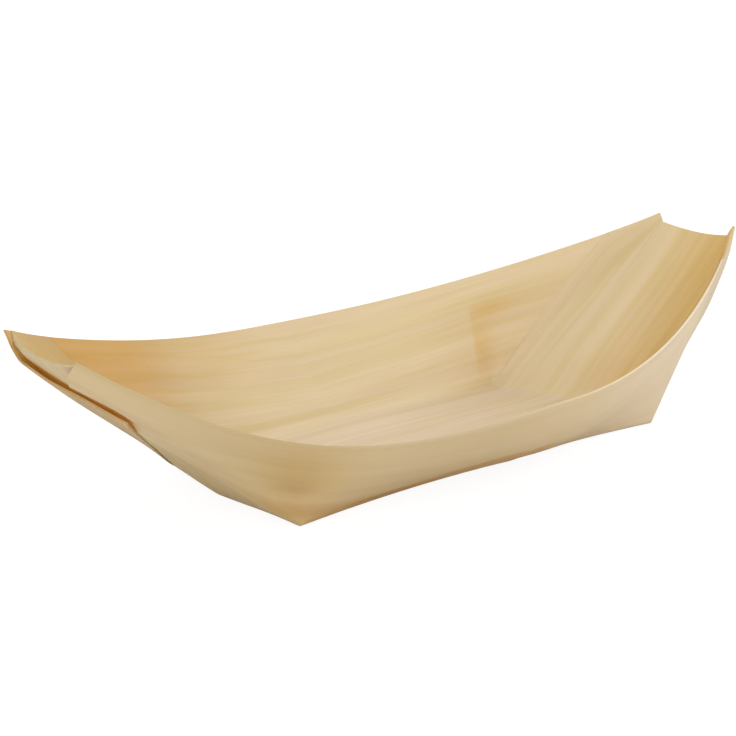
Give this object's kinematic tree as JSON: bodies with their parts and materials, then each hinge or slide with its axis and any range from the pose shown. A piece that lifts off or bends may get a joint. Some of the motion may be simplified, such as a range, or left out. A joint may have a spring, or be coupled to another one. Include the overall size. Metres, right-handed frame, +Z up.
{
  "type": "wooden snack boat",
  "caption": "Shallow open boat-shaped serving dish folded from a sheet of thin wood veneer, with lapped ends that rise to pointed tips.",
  "frame": {"origin": "middle of the base at mid length, on the surface that the boat stands on", "axes": "+X along the boat towards its right end, +Y across towards the far rim, +Z up"},
  "size_m": [0.2149, 0.0988, 0.0442],
  "materials": {
    "veneer": "bare, unvarnished pale wood veneer with a lengthwise grain"
  },
  "bodies": {
    "root": {"boat": "veneer"}
  },
  "joints": []
}
